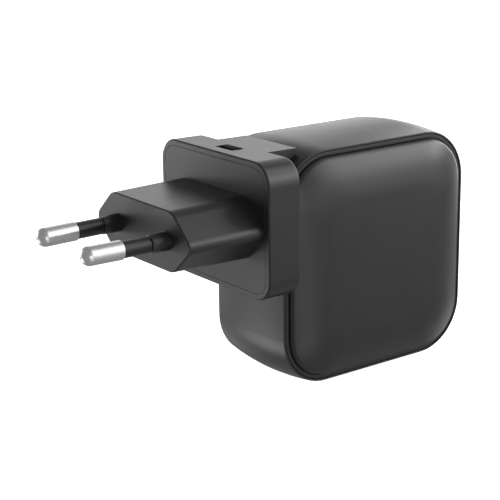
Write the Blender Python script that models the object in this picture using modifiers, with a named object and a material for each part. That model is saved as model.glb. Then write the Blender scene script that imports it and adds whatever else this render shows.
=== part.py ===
"""A USB wall charger with a slide-off two-pin plug head, built as an assembly of its separate pieces.

Metres, +Z up. The origin is the centre of the plug's flat face, midway between the two pins.
The pins point to -X, the USB ports face +X, and the pins lie side by side along Y.
Front means -Y and rear means +Y.
"""

from math import atan2, cos, pi, radians, sin, tan

import bmesh
import bpy
from mathutils import Matrix, Vector

MM = 0.001
GAP = 0.3 * MM

# Plug: a two-pin 2.5 A Europlug.
PIN_SPACING = 18.6 * MM
PIN_LEAN = radians(1.84)
PIN_LENGTH = 19.27 * MM
PIN_RADIUS = 2.0 * MM
PIN_BARE = 8.8 * MM
SHANK_RADIUS = 1.2 * MM
SLEEVE_RADIUS = 1.75 * MM
COLLAR_RADIUS = 1.9 * MM
COLLAR_FOOT_RADIUS = 2.0 * MM
COLLAR_FOOT_HEIGHT = 2.5 * MM
COLLAR_LENGTH = 4.12 * MM
PLUG_DEPTH = 18.0 * MM
PLUG_HALF_WIDTH = 17.75 * MM
PLUG_HALF_FLAT = 11.4 * MM
PLUG_HALF_HEIGHT = 6.385 * MM
PLUG_DRAFT = Vector((0.14, 0.42)) * MM
PLUG_WALL = 1.8 * MM

# Adapter block behind the plug.
BLOCK_BACK = 26.0 * MM
BLOCK_HALF_WIDTH = 19.4 * MM
BLOCK_BOTTOM = -14.68 * MM
BLOCK_TOP = 14.47 * MM
BLOCK_CORNER = 5.0 * MM
BLOCK_RIM = 1.2 * MM
BLOCK_WALL = 2.4 * MM
COVER_BACK = 19.6 * MM
SEAT_FRONT = 24.5 * MM
BACK_PLATE_BACK = 25.7 * MM

# Tongue on the block's top, which hooks over the charger body.
TONGUE_HALF_WIDTH = 8.8 * MM
TONGUE_END = 33.4 * MM
TONGUE_TOP = 14.15 * MM
TONGUE_UNDER = 13.2 * MM
TONGUE_ROOT = 9.0 * MM

# Charger body: a square with rounded corners, crowned on its four sides.
BODY_LEFT = 27.3 * MM
BODY_RIGHT = 79.0 * MM
BODY_BOTTOM = -38.05 * MM
BODY_TOP = 13.65 * MM
BODY_CORNER = 11.5 * MM
BODY_HALF_DEPTH = 12.0 * MM
BODY_CROWN = 0.93 * MM
BODY_FLAT_HALF = 4.5 * MM
BODY_WALL = 2.0 * MM
WALL_STATIONS = [y * MM for y in (-8.0, -4.5, 4.5, 8.0)]

# Recess at each face of the body, with a bevelled ring between the shell's lip and the panel.
LIP_WIDTH = 0.35 * MM
RECESS_FLOOR = 11.2 * MM
RIM_BACK = 11.4 * MM
RIM_OUTER = 0.55 * MM
RIM_INNER = 1.35 * MM
RIM_OUTER_HEIGHT = 11.95 * MM
RIM_INNER_HEIGHT = 11.65 * MM
PANEL_EDGE = 1.55 * MM
PANEL_SKIRT = 12.1 * MM
PANEL_LEDGE = 0.7 * MM
PANEL_ROLL = 9.5 * MM
PANEL_RISE = 2.4 * MM
PANEL_DOME = 0.3 * MM
PANEL_WALL = 1.5 * MM
PANEL_INSETS = [d * MM for d in (0.0, 0.25, 0.7, 2.2, 4.0, 6.3, 9.5, 14.0, 20.0)]

# Dock on the body's wall, a T-shaped rail that the adapter block slides over.
DOCK_BOTTOM = -11.0 * MM
DOCK_TOP = 5.5 * MM
DOCK_HEAD_FRONT = 22.6 * MM
DOCK_HEAD_HALF = 11.0 * MM
DOCK_STEM_HALF = 8.0 * MM
DOCK_FLANGE_FRONT = 29.9 * MM
DOCK_FLANGE_BACK = 31.2 * MM
DOCK_FLANGE_SIDE = 1.2 * MM
DOCK_FLANGE_TOP = 6.2 * MM
DOCK_FLANGE_BOTTOM = -12.4 * MM
PAD_INNER = 5.0 * MM
PAD_OUTER = 9.9 * MM
PAD_BOTTOM = -9.0 * MM
PAD_TOP = 3.0 * MM
PAD_FRONT = 22.45 * MM
PAD_THICKNESS = 0.5 * MM
INLET_Y = 6.2 * MM
INLET_Z = -2.5 * MM
INLET_RADIUS = 0.8 * MM
INLET_END = 31.9 * MM

# Latch: a ribbed slider with a bolt, pushed out by a coil spring.
SLOT_FRONT = 20.8 * MM
SLOT_BACK = 25.0 * MM
SLOT_HALF = 3.0 * MM
BUTTON_FRONT = 22.1 * MM
BUTTON_TOP = 14.3 * MM
LATCH_BACK = 24.2 * MM
BOLT_TIP = 30.1 * MM
BOLT_BOTTOM = 9.6 * MM
BOLT_TOP = 10.5 * MM
BOLT_HALF = 2.5 * MM
LATCH_FLANGE = (10.7 * MM, 11.7 * MM)
SPRING_FRONT = 19.9 * MM
SPRING_BACK = 22.9 * MM
SPRING_Z = 8.1 * MM
SPRING_RADIUS = 1.2 * MM
SPRING_WIRE = 0.17 * MM
SPRING_TURNS = 3.5

# Boards and ports.
MAIN_BOARD_Y = 8.2 * MM
BOARD_THICKNESS = 1.2 * MM
USB_BOARD_X = 70.2 * MM
PORT_FRONT = 79.5 * MM
PORT_BACK = 71.9 * MM
USB_C_SIZE = Vector((8.94, 3.26)) * MM
USB_A_SIZE = Vector((13.14, 5.7)) * MM
USB_C_HEIGHTS = (0.0 * MM, -12.0 * MM)
USB_A_HEIGHT = -24.6 * MM

ROUND_STEPS = 16

MATERIALS = {
    "charcoal_plastic": ((0.045, 0.045, 0.048), 0.55, 0.0),
    "black_plastic": ((0.02, 0.02, 0.021), 0.5, 0.0),
    "nickel": ((0.66, 0.65, 0.62), 0.25, 1.0),
    "brass": ((0.72, 0.56, 0.28), 0.35, 1.0),
    "spring_steel": ((0.5, 0.5, 0.5), 0.3, 1.0),
    "aluminium": ((0.78, 0.78, 0.79), 0.4, 1.0),
    "copper": ((0.72, 0.36, 0.2), 0.35, 1.0),
    "board": ((0.03, 0.17, 0.09), 0.5, 0.0),
    "ferrite": ((0.09, 0.09, 0.095), 0.7, 0.0),
    "yellow_film": ((0.8, 0.6, 0.12), 0.5, 0.0),
    "ceramic": ((0.2, 0.35, 0.6), 0.5, 0.0),
    "insulation": ((0.85, 0.85, 0.8), 0.4, 0.0),
}


# Scene set-up and helpers.


def clear_scene():
    for item in list(bpy.data.objects):
        bpy.data.objects.remove(item, do_unlink=True)


def make_collection(name):
    collection = bpy.data.collections.new(name)
    bpy.context.scene.collection.children.link(collection)
    return collection


def make_material(name, colour, roughness, metallic):
    material = bpy.data.materials.new(name)
    material.use_nodes = True
    shader = material.node_tree.nodes["Principled BSDF"]
    shader.inputs["Base Color"].default_value = (*colour, 1.0)
    shader.inputs["Roughness"].default_value = roughness
    shader.inputs["Metallic"].default_value = metallic
    return material


def make_empty(name, location, parent=None):
    empty = bpy.data.objects.new(name, None)
    empty.empty_display_size = 5 * MM
    parts.objects.link(empty)
    place(empty, Vector(location), parent)
    return empty


def place(item, location, parent):
    """Put an item at a world location, under a parent that is only translated."""
    item.parent = parent
    origin = Vector()
    above = parent
    while above:
        origin += above.location
        above = above.parent
    item.location = location - origin


def add_piece(name, data, material, parent=None, location=(0, 0, 0)):
    piece = bpy.data.objects.new(name, data)
    data.materials.append(materials[material])
    parts.objects.link(piece)
    place(piece, Vector(location), parent)
    return piece


def mesh_from(name, builder):
    mesh = bpy.data.meshes.new(name)
    builder.to_mesh(mesh)
    builder.free()
    return mesh


def box(name, low, high, material="black_plastic", parent=None):
    low, high = Vector(low), Vector(high)
    builder = bmesh.new()
    bmesh.ops.create_cube(builder, size=1.0, matrix=Matrix.Diagonal((*(high - low), 1.0)))
    return add_piece(name, mesh_from(name, builder), material, parent, (low + high) / 2)


def cylinder(name, start, end, radius, material="black_plastic", parent=None, steps=ROUND_STEPS):
    start, end = Vector(start), Vector(end)
    builder = bmesh.new()
    bmesh.ops.create_cone(
        builder, cap_ends=True, segments=steps, radius1=radius, radius2=radius,
        depth=(end - start).length,
    )
    piece = add_piece(name, mesh_from(name, builder), material, parent, (start + end) / 2)
    piece.rotation_euler = (end - start).to_track_quat("Z", "Y").to_euler()
    return piece


def turned(name, profile, material, parent=None, closed=False, steps=ROUND_STEPS):
    """Turn a profile of (radius, height) points about local Z."""
    builder = bmesh.new()
    points = [builder.verts.new((radius, 0, height)) for radius, height in profile]
    for first, second in zip(points, points[1:]):
        builder.edges.new((first, second))
    if closed:
        builder.edges.new((points[-1], points[0]))
    piece = add_piece(name, mesh_from(name, builder), material, parent)
    screw = piece.modifiers.new("turn", "SCREW")
    screw.steps = steps
    screw.render_steps = steps
    screw.use_merge_vertices = True
    screw.merge_threshold = 0.01 * MM
    return piece


def loft(name, loops, material="black_plastic", parent=None, wrap=False, caps=(True, True)):
    """Skin closed loops of equal length, in order. wrap joins the last loop to the first."""
    builder = bmesh.new()
    rings = [[builder.verts.new(point) for point in loop] for loop in loops]
    pairs = list(zip(rings, rings[1:]))
    if wrap:
        pairs.append((rings[-1], rings[0]))
    for lower, upper in pairs:
        count = len(lower)
        for i in range(count):
            j = (i + 1) % count
            builder.faces.new((lower[i], lower[j], upper[j], upper[i]))
    for ring, wanted in ((rings[0], caps[0]), (rings[-1], caps[1])):
        if wanted and not wrap:
            builder.faces.new(ring)
    bmesh.ops.recalc_face_normals(builder, faces=builder.faces)
    return add_piece(name, mesh_from(name, builder), material, parent)


def strip(name, path, y_low, y_high, thickness, material, parent=None):
    """A sheet-metal strip: a path of (x, z) points drawn out along Y and thickened."""
    builder = bmesh.new()
    lower = [builder.verts.new((x, y_low, z)) for x, z in path]
    upper = [builder.verts.new((x, y_high, z)) for x, z in path]
    for i in range(len(path) - 1):
        builder.faces.new((lower[i], lower[i + 1], upper[i + 1], upper[i]))
    piece = add_piece(name, mesh_from(name, builder), material, parent)
    thicken(piece, thickness, 0.0)
    return piece


def wire(name, points, radius, material, parent=None, detail=1):
    curve = bpy.data.curves.new(name, "CURVE")
    curve.dimensions = "3D"
    curve.bevel_depth = radius
    curve.bevel_resolution = detail
    curve.use_fill_caps = True
    spline = curve.splines.new("POLY")
    spline.points.add(len(points) - 1)
    for point, place_at in zip(spline.points, points):
        point.co = (*place_at, 1.0)
    return add_piece(name, curve, material, parent)


def thicken(piece, thickness, offset=-1.0):
    solidify = piece.modifiers.new("wall", "SOLIDIFY")
    solidify.thickness = thickness
    solidify.offset = offset
    solidify.use_even_offset = True


def combine(piece, tool, operation):
    """Add a Boolean EXACT step with a tool, which moves to the cutters' collection."""
    step = piece.modifiers.new(tool.name, "BOOLEAN")
    step.operation = operation
    step.object = tool
    parts.objects.unlink(tool)
    cutters.objects.link(tool)
    tool.hide_render = True
    tool.display_type = "WIRE"


def cut(piece, *tools):
    for tool in tools:
        combine(piece, tool, "DIFFERENCE")


def join(piece, *tools):
    for tool in tools:
        combine(piece, tool, "UNION")


# Outlines: lists of (u, v) points, anticlockwise.


def rounded_polygon(corners, radii, steps=5):
    """A polygon with each corner rounded by an arc of its own radius."""
    corners = [Vector(corner) for corner in corners]
    outline = []
    for i, corner in enumerate(corners):
        before = (corners[i - 1] - corner).normalized()
        after = (corners[(i + 1) % len(corners)] - corner).normalized()
        half_angle = before.angle(after) / 2
        radius = radii[i]
        centre = corner + (before + after).normalized() * (radius / sin(half_angle))
        start = corner + before * (radius / tan(half_angle)) - centre
        end = corner + after * (radius / tan(half_angle)) - centre
        first = atan2(start.y, start.x)
        sweep = (atan2(end.y, end.x) - first) % (2 * pi)
        for k in range(steps + 1):
            angle = first + sweep * k / steps
            outline.append((centre.x + radius * cos(angle), centre.y + radius * sin(angle)))
    return outline


def rounded_rectangle(u_low, u_high, v_low, v_high, radius, steps=5):
    corners = ((u_high, v_low), (u_high, v_high), (u_low, v_high), (u_low, v_low))
    return rounded_polygon(corners, [radius] * 4, steps)


def along_x(outline, x):
    """An outline of (y, z) points at one x."""
    return [(x, y, z) for y, z in outline]


def along_y(outline, y):
    """An outline of (x, z) points at one y."""
    return [(x, y, z) for x, z in outline]


def body_outline(offset, steps=5):
    """The body's square outline in X and Z, moved outwards by offset."""
    return rounded_rectangle(
        BODY_LEFT - offset, BODY_RIGHT + offset, BODY_BOTTOM - offset, BODY_TOP + offset,
        BODY_CORNER + offset, steps,
    )


def crown(y):
    """How far the body's four sides bulge past their edges at this y, flat on the middle strip."""
    fall = 1 - (y / BODY_HALF_DEPTH) ** 2
    flat_from = 1 - (BODY_FLAT_HALF / BODY_HALF_DEPTH) ** 2
    return BODY_CROWN * min(1.0, fall / flat_from)


def plug_outline(inset, draft):
    """The plug's six-sided section in Y and Z, inset for the wall and widened by the draft."""
    tip = PLUG_HALF_WIDTH + PLUG_DRAFT.x * draft - inset * 1.4
    flat = PLUG_HALF_FLAT + PLUG_DRAFT.x * draft - inset * 0.6
    height = PLUG_HALF_HEIGHT + PLUG_DRAFT.y * draft - inset
    corners = ((tip, 0), (flat, height), (-flat, height), (-tip, 0), (-flat, -height), (flat, -height))
    return rounded_polygon(corners, (1.4 * MM, 3 * MM, 3 * MM) * 2, steps=4)


def block_outline(inset):
    return rounded_rectangle(
        -BLOCK_HALF_WIDTH + inset, BLOCK_HALF_WIDTH - inset, BLOCK_BOTTOM + inset, BLOCK_TOP - inset,
        BLOCK_CORNER - inset,
    )


def body_solid(name, extra, half_depth):
    """A solid of the body's crowned outside, grown by extra."""
    stations = [-half_depth, *WALL_STATIONS, half_depth]
    return loft(name, [along_y(body_outline(crown(y) + extra), y) for y in stations])


# Adapter head: plug cover, block, pins, contacts and latch.


def pin_place(piece, side):
    """Stand a pin-shaped piece on the plug's face, its local +Z towards the tip."""
    origin = adapter.location
    piece.location = Vector((0, side * PIN_SPACING / 2, 0)) - origin
    lean = Matrix.Rotation(side * PIN_LEAN, 4, "Z")
    piece.rotation_euler = (lean @ Matrix.Rotation(-pi / 2, 4, "Y")).to_euler()


def pin_profile():
    """Domed tip, bare metal, thin shank and a flange that sits inside the plug's wall."""
    dome = 1.8 * MM
    dome_steps = 4
    profile = []
    for k in range(dome_steps + 1):
        angle = pi / 2 * k / dome_steps
        profile.append((PIN_RADIUS * sin(angle), PIN_LENGTH - dome + dome * cos(angle)))
    shoulder = PIN_LENGTH - PIN_BARE
    flange_top = -PLUG_WALL - GAP
    flange_bottom = flange_top - 0.8 * MM
    tail = -5.3 * MM
    return profile + [
        (PIN_RADIUS, shoulder),
        (SHANK_RADIUS, shoulder),
        (SHANK_RADIUS, flange_top),
        (COLLAR_RADIUS, flange_top),
        (COLLAR_RADIUS, flange_bottom),
        (SHANK_RADIUS, flange_bottom),
        (SHANK_RADIUS, tail),
        (0, tail),
    ]


def make_pins():
    bore = SHANK_RADIUS + 0.25 * MM
    top = PIN_LENGTH - PIN_BARE - GAP
    bottom = COLLAR_LENGTH + GAP
    for side, end in ((-1, "front"), (1, "rear")):
        pin = turned(f"pin_{end}", pin_profile(), "nickel", adapter)
        pin_place(pin, side)
        ring = ((SLEEVE_RADIUS, top), (SLEEVE_RADIUS, bottom), (bore, bottom), (bore, top))
        sleeve = turned(f"pin_sleeve_{end}", ring, "black_plastic", adapter, closed=True)
        pin_place(sleeve, side)


def make_plug_cover():
    """Face plate, hollow six-sided plug and a collar round each pin, moulded in one.

    The pins lean inwards, so each collar has a wider foot, which nothing above it overhangs.
    """
    edge = 0.25 * MM
    cover = loft("plug_cover", [
        along_x(plug_outline(edge, 0), 0.0),
        along_x(plug_outline(0, 0), edge),
        along_x(plug_outline(0, 1), PLUG_DEPTH + 0.5 * MM),
    ], "charcoal_plastic", adapter)
    plate = block_outline(BLOCK_RIM + GAP)
    join(cover, loft("cover_plate", [along_x(plate, PLUG_DEPTH), along_x(plate, COVER_BACK)]))
    cut(cover, loft("cover_hollow", [
        along_x(plug_outline(PLUG_WALL, 0), PLUG_WALL),
        along_x(plug_outline(PLUG_WALL, 1), COVER_BACK + 1 * MM),
    ]))
    bore = SHANK_RADIUS + 0.25 * MM
    for side in (-1, 1):
        collar = (
            (0, COLLAR_LENGTH), (COLLAR_RADIUS, COLLAR_LENGTH), (COLLAR_RADIUS, COLLAR_FOOT_HEIGHT),
            (COLLAR_FOOT_RADIUS, 0), (COLLAR_FOOT_RADIUS, -edge), (0, -edge),
        )
        boss = turned(f"collar_{side}", collar, "black_plastic", adapter)
        pin_place(boss, side)
        join(cover, boss)
        hole = (
            (0, COLLAR_LENGTH * 2), (bore, COLLAR_LENGTH * 2),
            (bore, -PLUG_WALL * 2), (0, -PLUG_WALL * 2),
        )
        drill = turned(f"pin_hole_{side}", hole, "black_plastic", adapter)
        pin_place(drill, side)
        cut(cover, drill)


def make_adapter_shell():
    """The block's ring wall, with the tongue, the latch slot and the notch for the dock."""
    ring = (
        (0, PLUG_DEPTH), (0, BLOCK_BACK), (BLOCK_RIM, BLOCK_BACK), (BLOCK_RIM, SEAT_FRONT),
        (BLOCK_WALL, SEAT_FRONT), (BLOCK_WALL, COVER_BACK + GAP), (BLOCK_RIM, COVER_BACK + GAP),
        (BLOCK_RIM, PLUG_DEPTH),
    )
    shell = loft(
        "adapter_shell", [along_x(block_outline(inset), x) for inset, x in ring],
        "charcoal_plastic", adapter, wrap=True,
    )
    hook = BLOCK_TOP - BLOCK_RIM + 0.1 * MM
    side_view = (
        (25.0 * MM, hook), (BLOCK_BACK, hook), (BLOCK_BACK, TONGUE_ROOT), (TONGUE_END, TONGUE_ROOT),
        (TONGUE_END, TONGUE_TOP), (25.0 * MM, TONGUE_TOP),
    )
    tongue = loft("tongue", [along_y(side_view, y) for y in (-TONGUE_HALF_WIDTH, TONGUE_HALF_WIDTH)])
    under = body_solid("tongue_underside", GAP, 9.5 * MM)
    cut(under, box(
        "tongue_recess", (20 * MM, -12 * MM, TONGUE_UNDER), (34.5 * MM, 12 * MM, 20 * MM),
    ))
    cut(tongue, under)
    cut(tongue, box(
        "bolt_slot", (25.5 * MM, -BOLT_HALF - GAP, 5 * MM),
        (BOLT_TIP + GAP, BOLT_HALF + GAP, BOLT_TOP + GAP),
    ))
    join(shell, tongue)
    cut(shell, box(
        "latch_slot", (SLOT_FRONT, -SLOT_HALF, BOLT_TOP), (SLOT_BACK, SLOT_HALF, 16 * MM),
    ))
    cut(shell, box(
        "dock_notch", (DOCK_HEAD_FRONT - 0.4 * MM, -DOCK_HEAD_HALF - GAP, -16 * MM),
        (27 * MM, DOCK_HEAD_HALF + GAP, -11.5 * MM),
    ))


def make_adapter_back_plate():
    """Closes the block behind the dock's head, and holds it in the T-slot."""
    outline = block_outline(BLOCK_RIM + GAP)
    plate = loft(
        "adapter_back_plate", [along_x(outline, SEAT_FRONT + GAP), along_x(outline, BACK_PLATE_BACK)],
        "charcoal_plastic", adapter,
    )
    cut(plate, box(
        "dock_slot", (24 * MM, -DOCK_STEM_HALF - GAP, -16 * MM),
        (27 * MM, DOCK_STEM_HALF + GAP, DOCK_TOP + GAP),
    ))
    cut(plate, box(
        "bolt_hole", (24 * MM, -BOLT_HALF - GAP, BOLT_BOTTOM - GAP),
        (27 * MM, BOLT_HALF + GAP, BOLT_TOP + GAP),
    ))


def make_contact_strips():
    """Brass strips from the pins' tails to the arched fingers that wipe the dock's pads."""
    path = [(x * MM, z * MM) for x, z in (
        (5.9, -1.8), (5.9, 1.4), (6.9, 2.4), (19.2, 2.4), (20.6, 1.2), (20.9, -2.0),
        (21.6, -3.6), (21.85, -5.0), (21.6, -6.4), (20.9, -8.0),
    )]
    for side, end in ((-1, "front"), (1, "rear")):
        edges = sorted((side * 7.6 * MM, side * 10.6 * MM))
        strip(f"contact_strip_{end}", path, *edges, 0.5 * MM, "brass", adapter)


def make_latch():
    """Ribbed button, retaining flange, bolt and spring tab in one slider, and its spring."""
    button_back = SLOT_BACK - GAP
    step = BLOCK_TOP - BLOCK_RIM + 0.05 * MM
    side_view = (
        (BUTTON_FRONT, BOLT_BOTTOM), (BOLT_TIP, BOLT_BOTTOM), (BOLT_TIP, BOLT_TOP - 0.4 * MM),
        (BOLT_TIP - 0.4 * MM, BOLT_TOP), (LATCH_BACK, BOLT_TOP), (LATCH_BACK, step),
        (button_back, step), (button_back, BUTTON_TOP), (BUTTON_FRONT, BUTTON_TOP),
    )
    slider = loft(
        "latch_slider", [along_y(side_view, y) for y in (-BOLT_HALF, BOLT_HALF)],
        "black_plastic", latch,
    )
    join(slider, box(
        "latch_flange", (21.3 * MM, -3.9 * MM, LATCH_FLANGE[0]),
        (LATCH_BACK - 0.1 * MM, 3.9 * MM, LATCH_FLANGE[1]),
    ))
    join(slider, box(
        "spring_tab", (23.2 * MM, -2 * MM, 6.6 * MM),
        (LATCH_BACK - 0.15 * MM, 2 * MM, BOLT_BOTTOM + 0.4 * MM),
    ))
    rib_count = 4
    pitch = (button_back - BUTTON_FRONT) / rib_count
    for k in range(rib_count - 1):
        middle = BUTTON_FRONT + pitch * (k + 1)
        cut(slider, box(
            f"rib_groove_{k}", (middle - 0.15 * MM, -4 * MM, BUTTON_TOP - 0.4 * MM),
            (middle + 0.15 * MM, 4 * MM, BUTTON_TOP + 1 * MM),
        ))
    points = []
    per_turn = 10
    count = int(SPRING_TURNS * per_turn)
    for k in range(count + 1):
        angle = 2 * pi * k / per_turn
        start = SPRING_FRONT + SPRING_WIRE
        x = start + (SPRING_BACK - SPRING_WIRE - start) * k / count
        points.append((x, SPRING_RADIUS * cos(angle), SPRING_Z + SPRING_RADIUS * sin(angle)))
    wire("latch_spring", points, SPRING_WIRE, "spring_steel", latch)


# Charger body: shells, dock, boards, ports and components.


def make_mid_shell():
    """The crowned ring wall; at each end a thin lip stands round the recess for the rim."""
    outside = [-BODY_HALF_DEPTH, *WALL_STATIONS, BODY_HALF_DEPTH]
    inside = [-RECESS_FLOOR, *WALL_STATIONS, RECESS_FLOOR]
    wall = [(crown(y), y) for y in outside]
    wall += [(-LIP_WIDTH, BODY_HALF_DEPTH), (-LIP_WIDTH, RECESS_FLOOR)]
    wall += [(crown(y) - BODY_WALL, y) for y in reversed(inside)]
    wall += [(-LIP_WIDTH, -RECESS_FLOOR), (-LIP_WIDTH, -BODY_HALF_DEPTH)]
    shell = loft(
        "mid_shell", [along_y(body_outline(offset), y) for offset, y in wall],
        "charcoal_plastic", wrap=True,
    )
    side = DOCK_STEM_HALF + GAP
    cut(shell, box("dock_opening", (24 * MM, -side, DOCK_BOTTOM - GAP), (30 * MM, side, DOCK_TOP + GAP)))
    cut(shell, box(
        "tongue_seat", (20 * MM, -TONGUE_HALF_WIDTH - GAP, TONGUE_UNDER - GAP),
        (TONGUE_END + GAP, TONGUE_HALF_WIDTH + GAP, 20 * MM),
    ))
    cut(shell, box(
        "bolt_pocket", (20 * MM, -BOLT_HALF - GAP, BOLT_BOTTOM - GAP),
        (BOLT_TIP + 0.4 * MM, BOLT_HALF + GAP, BOLT_TOP + GAP),
    ))
    for name, size, height in ports():
        half = size / 2 + Vector((GAP, GAP))
        hole = rounded_rectangle(-half.x, half.x, height - half.y, height + half.y, corner_of(name, half), 4)
        cut(shell, loft(f"{name}_opening", [along_x(hole, x) for x in (76 * MM, 83 * MM)]))


def make_rims_and_panels():
    """The bevelled square ring at each face, and the cushion-shaped panel inside it."""
    for side, end in ((-1, "front"), (1, "rear")):
        ring = (
            (-RIM_OUTER, RIM_BACK), (-RIM_OUTER, RIM_OUTER_HEIGHT),
            (-RIM_INNER, RIM_INNER_HEIGHT), (-RIM_INNER, RIM_BACK),
        )
        loft(
            f"{end}_rim", [along_y(body_outline(offset), side * y) for offset, y in ring],
            "black_plastic", wrap=True,
        )
        loops = [panel_loop(0.0, RIM_BACK, side)]
        loops += [panel_loop(inset, panel_height(inset), side) for inset in PANEL_INSETS]
        panel = loft(f"{end}_panel", loops, "charcoal_plastic", caps=(False, True))
        thicken(panel, PANEL_WALL)


def panel_half():
    return (BODY_RIGHT - BODY_LEFT) / 2 - PANEL_EDGE


def panel_loop(inset, y, side):
    """A square ring inset from the panel's edge.

    Its corners tighten up to the roll's end, then open again.
    """
    half = panel_half() - inset
    radius = BODY_CORNER - PANEL_EDGE - min(inset, PANEL_ROLL) * 0.55 + max(inset - PANEL_ROLL, 0) * 0.3
    centre_x = (BODY_LEFT + BODY_RIGHT) / 2
    centre_z = (BODY_BOTTOM + BODY_TOP) / 2
    outline = rounded_rectangle(-half, half, -half, half, min(radius, half * 0.98), 4)
    return [(centre_x + u, side * y, centre_z + v) for u, v in outline]


def panel_height(inset):
    """The panel's distance from the middle plane: a rounded ledge, a broad roll, a slight dome."""
    ledge = PANEL_LEDGE * sin(pi / 2 * min(inset / PANEL_LEDGE, 1.0))
    roll = PANEL_RISE * (1 - (1 - min(inset / PANEL_ROLL, 1.0)) ** 2)
    dome = PANEL_DOME * (1 - (1 - inset / panel_half()) ** 2)
    return PANEL_SKIRT + ledge + roll + dome


def make_dock():
    """T-shaped rail through the body's wall, and the two inlet contacts it carries."""
    stem = DOCK_STEM_HALF
    dock = box(
        "dock_plate", (DOCK_HEAD_FRONT, -DOCK_HEAD_HALF, DOCK_BOTTOM),
        (SEAT_FRONT, DOCK_HEAD_HALF, DOCK_TOP), "black_plastic",
    )
    join(dock, box(
        "dock_stem", (24 * MM, -stem, DOCK_BOTTOM + 0.1 * MM),
        (DOCK_FLANGE_FRONT + 0.2 * MM, stem, DOCK_TOP - 0.1 * MM),
    ))
    join(dock, box(
        "dock_flange", (DOCK_FLANGE_FRONT, -stem - DOCK_FLANGE_SIDE, DOCK_FLANGE_BOTTOM),
        (DOCK_FLANGE_BACK, stem + DOCK_FLANGE_SIDE, DOCK_FLANGE_TOP),
    ))
    for side, end in ((-1, "front"), (1, "rear")):
        y_low, y_high = sorted((side * PAD_INNER, side * PAD_OUTER))
        cut(dock, box(
            f"pad_pocket_{end}", (22 * MM, y_low - GAP, PAD_BOTTOM - GAP),
            (PAD_FRONT + PAD_THICKNESS + GAP, y_high + GAP, PAD_TOP + GAP),
        ))
        cut(dock, cylinder(
            f"inlet_hole_{end}", (22 * MM, side * INLET_Y, INLET_Z), (32 * MM, side * INLET_Y, INLET_Z),
            INLET_RADIUS + GAP,
        ))
        contact = box(
            f"inlet_contact_{end}", (PAD_FRONT, y_low, PAD_BOTTOM),
            (PAD_FRONT + PAD_THICKNESS, y_high, PAD_TOP), "brass",
        )
        join(contact, cylinder(
            f"inlet_pin_{end}", (PAD_FRONT + 0.2 * MM, side * INLET_Y, INLET_Z),
            (INLET_END, side * INLET_Y, INLET_Z), INLET_RADIUS,
        ))


def make_inlet_wires():
    """From each inlet contact's tail to the main board."""
    routes = {
        "inlet_wire_front": ((32.2, -6.2, -2.5), (33.0, -6.2, -2.3), (33.2, -5.6, 1.0), (33.2, -2.0, 5.6),
                             (33.4, 3.0, 8.0), (34.2, 6.6, 8.6), (34.7, 7.8, 8.6)),
        "inlet_wire_rear": ((32.2, 6.2, -2.5), (33.0, 6.2, -2.8), (33.2, 6.2, -6.0), (33.2, 6.8, -8.6),
                            (34.0, 7.8, -9.2)),
    }
    for name, route in routes.items():
        wire(name, [Vector(point) * MM for point in route], 0.5 * MM, "black_plastic", detail=2)


def ports():
    return (
        ("usb_c_shell_1", USB_C_SIZE, USB_C_HEIGHTS[0]),
        ("usb_c_shell_2", USB_C_SIZE, USB_C_HEIGHTS[1]),
        ("usb_a_shell", USB_A_SIZE, USB_A_HEIGHT),
    )


def corner_of(name, half):
    """A USB-C mouth has round ends, a USB-A mouth small corners."""
    return half.y * 0.98 if "usb_c" in name else 0.8 * MM


def make_ports():
    """Metal shells open at both ends, and the tongue block held in each."""
    wall = 0.3 * MM
    for name, size, height in ports():
        loops = []
        for inset, x in ((0, PORT_FRONT), (0, PORT_BACK), (wall, PORT_BACK), (wall, PORT_FRONT)):
            half = size / 2 - Vector((inset, inset))
            outline = rounded_rectangle(
                -half.x, half.x, height - half.y, height + half.y, corner_of(name, half), 4,
            )
            loops.append(along_x(outline, x))
        loft(name, loops, "nickel", wrap=True)
        inner = size / 2 - Vector((wall + GAP, wall + GAP))
        base = rounded_rectangle(
            -inner.x, inner.x, height - inner.y, height + inner.y, corner_of(name, inner) * 0.9, 3,
        )
        tongue_name = name.replace("shell", "tongue")
        block = loft(tongue_name, [along_x(base, x) for x in (PORT_BACK + GAP, PORT_BACK + 2 * MM)])
        if "usb_c" in name:
            blade_y, low, high = 3.35 * MM, -0.35 * MM, 0.35 * MM
        else:
            blade_y, low, high = 5.55 * MM, 0.1 * MM, 1.9 * MM
        join(block, box(
            f"{tongue_name}_blade", (PORT_BACK + 1 * MM, -blade_y, height + low),
            (PORT_FRONT - 0.8 * MM, blade_y, height + high),
        ))


def make_boards():
    box(
        "main_board", (33.6 * MM, MAIN_BOARD_Y, -34 * MM),
        (69.6 * MM, MAIN_BOARD_Y + BOARD_THICKNESS, 9.6 * MM), "board",
    )
    box(
        "usb_board", (USB_BOARD_X, -11 * MM, -34 * MM),
        (USB_BOARD_X + BOARD_THICKNESS, 11 * MM, 9.5 * MM), "board",
    )


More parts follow.
